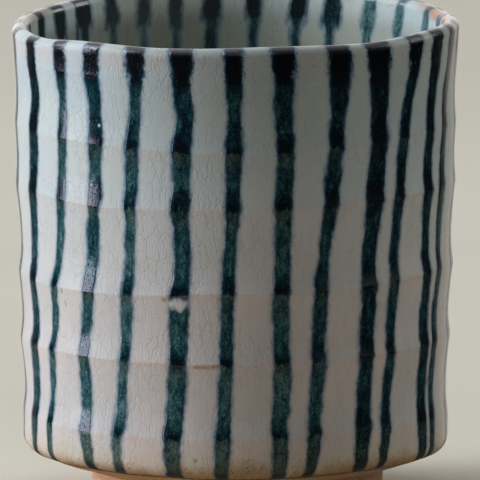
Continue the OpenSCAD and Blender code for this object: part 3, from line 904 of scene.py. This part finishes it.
def calm(rows):
    """Rounds the ridges off towards the two sides, where the hand pressed less."""
    wall = [r for r in rows if r[2] in (1, 2, 3)]
    R = np.array([r[0] for r in wall])
    Z = np.array([r[1] for r in wall])
    step = np.gradient(Z, axis=0)
    side = smooth(np.abs(deg), 55, 72) * (1 - smooth(np.abs(deg), 150, 170))
    for i, r in enumerate(wall):
        w = np.exp(-0.5 * ((Z - Z[i]) / 0.75) ** 2) * step
        r[0] = R[i] + side * (r[2] != 1) * ((w * R).sum(0) / w.sum(0) - R[i])
    return rows


def uneven(rows):
    """Adds the wall's small unevenness to the rows of the outside, so that coat and clay move together."""
    for r in rows:
        if r[2] in (1, 2, 3, 4):
            k = 1.0 if r[2] in (2, 3) else 0.5
            r[0] = np.minimum(r[0] + k * relief(th, r[1]), 40.0)
    return rows


# outside coat
front = uneven(calm(outside(0.0)))
back = uneven(outside(GLAZE, thin=True))[::-1]
R, Z, A, part, f = fill_facts(front, True)
f = paint(A, Z, R, f, True)
tail = blank((len(back), N))
facts = {k: np.vstack([f[k], tail[k]]) for k in KEYS}
outer = shell("glaze_outside", front, back, True, facts, glaze_out, ["outer_glaze"])

# inside coat: from the middle of its hidden face, up to the lip, and down the inside to the middle of the floor
seen = inside(0.0)
R2, Z2, A2, part2, f2 = fill_facts(seen, False)
f2["lp"] = f2["lp"] + 0.2
f2 = paint(A2, Z2, R2, f2, False)
hidden = inside(GLAZE, thin=True)[::-1]
crest = [[lip_cr, lip_z, 5]]
tail2 = blank((len(hidden) + 1, N))
tail2["lp"][-1] = 0.0
tail2["sd"][-1] = f2["sd"][0]
tail2["tone"][-1] = f2["tone"][0]
facts2 = {k: np.vstack([tail2[k], f2[k]]) for k in KEYS}
inner = shell("glaze_inside", hidden + crest + seen, [], False, facts2, glaze_in, ["inner_glaze"])


# brushed bands: thin lenses of pigment that stand a few hundredths of a millimetre proud of the coat
def bands(name, rows, facts_R, facts_Z, f_all, stripe, count, z_lo, z_hi, out_side, material, nodes):
    K = 10
    us = np.linspace(-1, 1, K + 1)
    co_all, quads_all, parts = [], [], []
    base = 0
    acc = {k: [] for k in KEYS}
    sign = 1.0 if out_side else -1.0
    for k in range(count):
        # heights of the rows at this stripe's own angle
        c0 = np.degrees(stripe(k, np.array([70.0]))[0][0])
        col = int(round((c0 + 180) / 360 * N)) % N
        zrow = facts_Z[:, col]
        keep = np.where((zrow > z_lo) & (zrow < z_hi(k)))[0]
        if out_side:
            keep = keep[: -1] if keep[-1] == len(zrow) - 1 else keep
        zs = zrow[keep]
        c, left, right = stripe(k, zs)
        ok = (left > 0.25) & (right > 0.25)
        keep, zs, c, left, right = keep[ok], zs[ok], c[ok], left[ok], right[ok]
        n = len(keep)
        loop_s = np.concatenate([us, us[::-1]])
        lift = np.concatenate([0.032 * (1 - us ** 6) - 0.010, -0.10 * np.ones(K + 1)])
        half = np.where(loop_s[None, :] < 0, left[:, None], right[:, None])
        ang = c[:, None] + loop_s[None, :] * half / facts_R[keep][:, col][:, None]
        pos = (wrap(ang) + math.pi) / TAU * N
        i0 = np.floor(pos).astype(int) % N
        i1 = (i0 + 1) % N
        w = pos - np.floor(pos)
        rr = facts_R[keep][np.arange(n)[:, None], i0] * (1 - w) + facts_R[keep][np.arange(n)[:, None], i1] * w
        zz = facts_Z[keep][np.arange(n)[:, None], i0] * (1 - w) + facts_Z[keep][np.arange(n)[:, None], i1] * w
        # lift square to the profile, so that a band can turn over the lip
        dR = np.gradient(facts_R[:, col])[keep]
        dZ = np.gradient(facts_Z[:, col])[keep]
        ln = np.hypot(dR, dZ)
        nr, nz = dZ / ln * sign, -dR / ln * sign
        if not out_side:
            nr, nz = dZ / ln, -dR / ln
        rr = rr + nr[:, None] * lift[None, :]
        zz = zz + nz[:, None] * lift[None, :]
        co_all.append(to_xyz(rr, ang, zz).reshape(-1, 3))
        for key in KEYS:
            v = f_all[key][keep]
            acc[key].append((v[np.arange(n)[:, None], i0] * (1 - w) + v[np.arange(n)[:, None], i1] * w).ravel())
        C = 2 * (K + 1)
        q = ring_faces(n, C, False)
        if not out_side:
            q = q[:, ::-1] if facts_Z[keep[0], col] < facts_Z[keep[-1], col] else q
        caps = []
        for j in range(K):
            tj, tj1, bj, bj1 = j, j + 1, C - 1 - j, C - 2 - j
            caps.append([tj, bj, bj1, tj1])
            o = (n - 1) * C
            caps.append([o + tj1, o + bj1, o + bj, o + tj])
        quads_all.append(np.concatenate([q, np.array(caps)]) + base)
        base += n * C
    co = np.concatenate(co_all)
    quads = np.concatenate(quads_all)
    facts = {k: np.concatenate(v) for k, v in acc.items()}
    return make_mesh(name, co, quads, [], facts, material, nodes)


stripes_out = bands("stripes_outside", front, R, Z, f, out_stripe, len(OUT), 8.6, lambda k: 88.3, True, glaze_out, ["outer_stripes"])
stripes_in = bands("stripes_inside", seen, R2, Z2, f2, in_stripe, len(INN), 52.0, lambda k: 87.9, False, glaze_in, ["inner_stripes"])

# thrown clay: under the coats, bare on the underside
FOOT_R, FOOT_IN, BASE, SEAT = 26.08 + 0.34 * np.sin(th), 21.0, 4.5, 0.8
clay_out = uneven(outside(GLAZE, thin=True))
end_r = sh_r + SHOULDER * math.cos(math.radians(UN_A))
end_z = sh_z - SHOULDER * math.sin(math.radians(UN_A))


def under_pt(s, d):
    return (end_r - math.cos(UNDER) * s - math.sin(UNDER) * d, end_z - math.sin(UNDER) * s + math.cos(UNDER) * d)


s_foot = (end_r - math.sin(UNDER) * GLAZE - FOOT_R) / math.cos(UNDER)
foot_top = under_pt(s_foot, GLAZE)[1]
seat_z = foot_top + SEAT
bare = []


def put(rows, r, z):
    rows.append([r * np.ones(N), z * np.ones(N), 9])


put(bare, 0.8, BASE + 0.25)
for r in np.linspace(2.2, 20.2, 13):
    put(bare, r, BASE + 0.06 * np.cos(TAU * r / 3.1 - th) + 0.12 * math.exp(-(r / 3.0) ** 2))
put(bare, 20.9, BASE)
put(bare, FOOT_IN, BASE + 0.05)
put(bare, FOOT_IN, seat_z)
put(bare, FOOT_R, seat_z)
put(bare, FOOT_R, foot_top)
for t in (0.06, 0.15, 0.3, 0.45, 0.6, 0.72, 0.82, 0.9, 0.96):
    s = s_foot + (glaze_under - s_foot) * t
    # the bare clay swells out to be flush with the coat's edge
    r, z = under_pt(s, GLAZE - 0.43 * smooth(t, 0.1, 0.7))
    dip = 0.10 * np.cos(TAU * t * 2.6 - th) * math.sin(math.pi * t)
    put(bare, r, z - dip)
clay_rows = bare + clay_out + inside(GLAZE, thin=True)[1:]
clay = shell("thrown_clay", clay_rows, [], False, {}, clay_mat, ["clay_body"])

# foot ring
foot_rows = []
chatter = wobble(80, 0.05, 3, 12)
profile = [(21.9, 0.0), (25.0, 0.0), (25.35, 0.05), (25.55, 0.18), (25.62, 0.4), (25.7, 1.2), (25.74, 2.2), (25.8, 3.2), (25.86, 4.2), (25.93, 5.1)]
for r, z in profile:
    put(foot_rows, r + (FOOT_R - 26.0) * (r > 23) + (chatter if 0 < z < 5 else 0), z + (0.0 if z < 0.01 else 0.04 * np.cos(3 * th + z)))
put(foot_rows, FOOT_R, foot_top)
put(foot_rows, FOOT_R, seat_z)
put(foot_rows, FOOT_IN, seat_z)
put(foot_rows, FOOT_IN, BASE)
for r, z in [(21.08, 3.6), (21.15, 2.6), (21.22, 1.6), (21.32, 0.8), (21.45, 0.35), (21.65, 0.08)]:
    put(foot_rows, r + chatter * 0.6, z)
foot = shell("foot_ring", foot_rows, [], True, {}, foot_mat, ["foot_ring"])


# ---------------------------------------------------------------- floor, light, camera

me = bpy.data.meshes.new("floor")
g = 6.0
me.from_pydata([(-g, -g, 0), (g, -g, 0), (g, g, 0), (-g, g, 0)], [], [(0, 1, 2, 3)])
floor = bpy.data.objects.new("floor", me)
bpy.context.scene.collection.objects.link(floor)
fm = Mat("floor")
P = fm.pos()
fcol = fm.mix(fm.ramp(fm.noise(P, 0.004, 3), 0.3, 0.7), srgb(225, 213, 194), srgb(233, 221, 203))
fm.put(fm.b.inputs["Base Color"], fcol)
fm.b.inputs["Roughness"].default_value = 0.9
fm.b.inputs["Specular IOR Level"].default_value = 0.1
me.materials.append(fm.m)
floor.visible_glossy = False
floor.visible_diffuse = False
floor.visible_shadow = False

# a dim room: dark at eye level in front, a pale glow low down behind, warm light coming up from the floor
world = bpy.data.worlds.new("world")
bpy.context.scene.world = world
world.use_nodes = True
wt = world.node_tree
bg = wt.nodes["Background"]


def w_node(kind, **inputs):
    n = wt.nodes.new(kind)
    for k, v in inputs.items():
        if isinstance(v, bpy.types.NodeSocket):
            wt.links.new(v, n.inputs[int(k[1:])])
        else:
            n.inputs[int(k[1:])].default_value = v
    return n


def w_ramp(v, a, b):
    n = wt.nodes.new("ShaderNodeMapRange")
    n.interpolation_type = "SMOOTHSTEP"
    wt.links.new(v, n.inputs["Value"])
    lo, hi = (0.0, 1.0) if a < b else (1.0, 0.0)
    n.inputs["From Min"].default_value = min(a, b)
    n.inputs["From Max"].default_value = max(a, b)
    n.inputs["To Min"].default_value = lo
    n.inputs["To Max"].default_value = hi
    return n.outputs["Result"]


def w_mul(a, b):
    n = wt.nodes.new("ShaderNodeMath")
    n.operation = "MULTIPLY"
    wt.links.new(a, n.inputs[0])
    wt.links.new(b, n.inputs[1])
    return n.outputs[0]


def w_mix(f, a, b):
    n = wt.nodes.new("ShaderNodeMix")
    n.data_type = "RGBA"
    wt.links.new(f, n.inputs[0])
    for k, v in ((6, a), (7, b)):
        if isinstance(v, bpy.types.NodeSocket):
            wt.links.new(v, n.inputs[k])
        else:
            n.inputs[k].default_value = (*v, 1)
    return n.outputs[2]


coord = wt.nodes.new("ShaderNodeTexCoord")
sep = wt.nodes.new("ShaderNodeSeparateXYZ")
wt.links.new(coord.outputs["Generated"], sep.inputs[0])
dx, dy, dz = sep.outputs
sky = w_mix(w_ramp(dz, 0.5, 0.85), (0.022, 0.023, 0.024), (0.17, 0.18, 0.19))
sky = w_mix(w_ramp(dz, -0.42, -0.72), sky, (0.50, 0.435, 0.37))
lit = w_mul(w_ramp(dz, -0.42, -0.72), w_ramp(dx, 0.05, -0.55))
sky = w_mix(lit, sky, (1.16, 1.10, 1.05))
right = w_mul(w_ramp(dx, 0.50, 0.95), w_mul(w_ramp(dz, -0.02, 0.22), w_ramp(dz, 0.8, 0.5)))
sky = w_mix(right, sky, (0.25, 0.27, 0.265))
glow = w_mul(w_ramp(dy, 0.70, 0.93), w_mul(w_ramp(dz, -0.55, -0.25), w_ramp(dz, 0.75, 0.25)))
sky = w_mix(glow, sky, (0.50, 0.47, 0.42))
behind = w_mul(w_ramp(dy, 0.88, 0.975), w_mul(w_ramp(dz, -0.15, 0.02), w_ramp(dz, 0.5, 0.3)))
sky = w_mix(behind, sky, (1.25, 1.18, 1.10))
wt.links.new(sky, bg.inputs[0])
bg.inputs[1].default_value = 1.0


def area(name, azimuth, distance, z, width, height, radiance, colour, aim=0.045):
    """A soft box of an even radiance. azimuth is from the front, negative to the photo's left."""
    L = bpy.data.lights.new(name, "AREA")
    L.shape = "RECTANGLE"
    L.size, L.size_y = width, height
    L.energy = math.pi * width * height * radiance
    L.color = colour
    o = bpy.data.objects.new(name, L)
    bpy.context.scene.collection.objects.link(o)
    a = math.radians(azimuth)
    o.location = (distance * math.sin(a), -distance * math.cos(a), z)
    o.rotation_mode = "QUATERNION"
    o.rotation_quaternion = (Vector((0, 0, aim)) - o.location).to_track_quat("-Z", "Y")
    o.visible_camera = False
    return o


area("window", -88.7, 1.5, 0.66, 0.59, 1.68, 5.0, (0.93, 0.96, 1.18), aim=0.66)
area("high_left", -93, 1.25, 0.92, 1.2, 0.9, 4.75, (0.86, 1.0, 1.05))
area("high_front", 5, 1.2, 0.95, 0.8, 0.6, 1.2, (0.98, 1.01, 0.99))
area("high_right", 114, 1.2, 0.80, 0.8, 0.6, 3.3, (0.93, 1.03, 1.02))

cam = bpy.data.cameras.new("camera")
cam_ob = bpy.data.objects.new("camera", cam)
bpy.context.scene.collection.objects.link(cam_ob)
bpy.context.scene.camera = cam_ob
EL = math.radians(8.8)
DIST = 2.5
cam.sensor_width = 36.0
cam.lens = 36.0 * DIST / (0.480 * 0.17857)
target = Vector((0.0008, 0.0, 0.0476))
back_dir = Vector((0.0, -math.cos(EL), math.sin(EL)))
cam_ob.location = target + back_dir * DIST
cam_ob.rotation_mode = "QUATERNION"
cam_ob.rotation_quaternion = (-back_dir).to_track_quat("-Z", "Y")
cam.clip_start, cam.clip_end = 0.05, 60.0

view = bpy.context.scene.view_settings
view.view_transform = "Standard"
view.look = "None"
